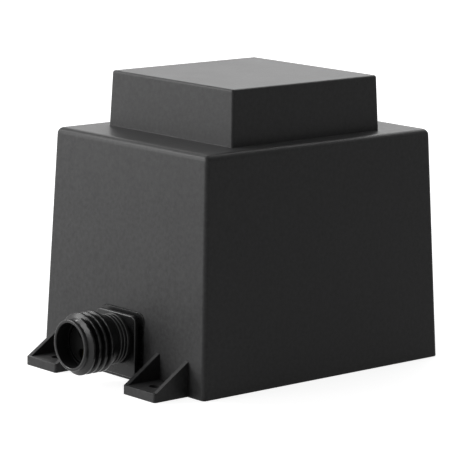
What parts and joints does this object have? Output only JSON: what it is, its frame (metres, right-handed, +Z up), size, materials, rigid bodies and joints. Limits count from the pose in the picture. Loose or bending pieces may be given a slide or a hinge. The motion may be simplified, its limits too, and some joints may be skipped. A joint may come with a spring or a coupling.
{
  "type": "low voltage transformer",
  "caption": "Potted low voltage transformer: drafted black housing with a raised top block, fixing ears at the foot and a threaded outlet socket on the front.",
  "frame": {"origin": "on the base plane, under the middle of the housing's foot", "axes": "+Z up from the base; -Y out of the face with the outlet and the ears; +X to the right seen from that face"},
  "size_m": [0.1, 0.1496, 0.1146],
  "materials": {
    "housing_plastic": "fine matt moulded texture, black",
    "outlet_plastic": "satin black moulding",
    "seal_rubber": "black rubber",
    "casting_resin": "black casting resin, level and slightly glossy",
    "lamination_steel": "annealed electrical sheet",
    "bobbin_plastic": "natural polyamide",
    "enamelled_copper": "enamelled copper",
    "insulating_tape": "yellow polyester tape",
    "tinned_metal": "tinned",
    "contact_brass": "bright brass",
    "lead_insulation": "black insulation",
    "link_insulation": "red insulation"
  },
  "bodies": {
    "root": {"housing": "housing_plastic", "potting_resin": "casting_resin", "core_e_laminations": "lamination_steel", "core_i_laminations": "lamination_steel", "bobbin": "bobbin_plastic", "primary_winding": "enamelled_copper", "secondary_winding": "enamelled_copper", "primary_wrap": "insulating_tape", "secondary_wrap": "insulating_tape", "primary_terminals": "tinned_metal", "secondary_terminals": "tinned_metal", "thermal_cutout": "tinned_metal", "cutout_link": "link_insulation", "outlet_socket": "outlet_plastic", "outlet_neck_seal": "seal_rubber", "outlet_gasket": "seal_rubber", "outlet_back_nut": "outlet_plastic", "contact_carrier": "outlet_plastic", "contact_sleeves": "contact_brass", "secondary_lead_upper": "lead_insulation", "secondary_lead_lower": "lead_insulation", "mains_bush": "seal_rubber"}
  },
  "joints": []
}
